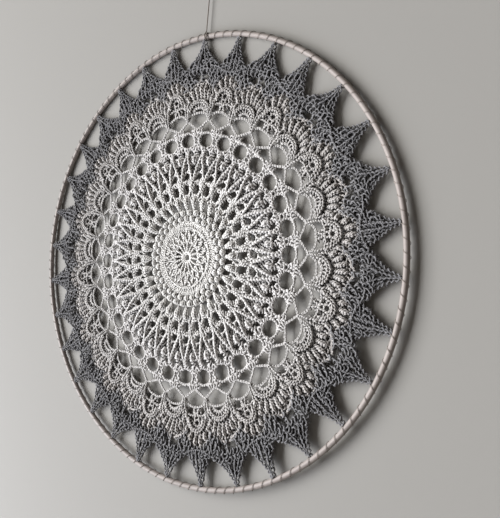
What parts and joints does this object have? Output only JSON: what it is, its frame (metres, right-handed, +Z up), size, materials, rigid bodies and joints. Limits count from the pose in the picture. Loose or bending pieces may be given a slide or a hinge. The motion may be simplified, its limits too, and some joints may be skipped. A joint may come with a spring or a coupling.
{
  "type": "crocheted hoop mandala",
  "caption": "Round crocheted cotton mandala in pale and grey yarn, its pointed rim lashed into a thin metal hoop that hangs on a nail by one knotted thread.",
  "frame": {"origin": "where the nail carries the hanging loop, straight above the hoop's centre", "axes": "+Z up, the lace faces -Y, +X to the right seen from the front"},
  "size_m": [0.5048, 0.0113, 0.5657],
  "materials": {
    "coated_steel": "satin off-white coating",
    "pale_yarn": "matt plied cotton",
    "grey_yarn": "matt plied cotton",
    "thread": "matt cotton thread"
  },
  "bodies": {
    "loop": {"hanging_loop": "thread"},
    "knot": {"loop_knot": "thread"},
    "thread": {"hanging_thread": "thread", "hitch": "thread"},
    "mandala": {"hoop": "coated_steel", "centre_medallion": "pale_yarn", "inner_bobble_round": "pale_yarn", "outer_bobble_round": "pale_yarn", "leaf_round": "pale_yarn", "oval_round": "pale_yarn", "relief_round": "pale_yarn", "arch_round": "pale_yarn", "chain_mesh": "pale_yarn", "shell_round": "pale_yarn", "point_border": "grey_yarn", "lashing_thread": "thread"}
  },
  "joints": [
    {"name": "thread_twist", "type": "hinge", "parent": "loop", "child": "knot", "pos_m": [0, 0, -0.016], "axis": [0, 0, 1], "range_deg": [-180, 180]},
    {"name": "thread_swing", "type": "hinge", "parent": "knot", "child": "thread", "pos_m": [0, 0, -0.0183], "axis": [0, 1, 0], "range_deg": [-30, 30]},
    {"name": "hoop_tilt", "type": "hinge", "parent": "thread", "child": "mandala", "pos_m": [0, 0, -0.0645], "axis": [1, 0, 0], "range_deg": [-45, 45]}
  ]
}
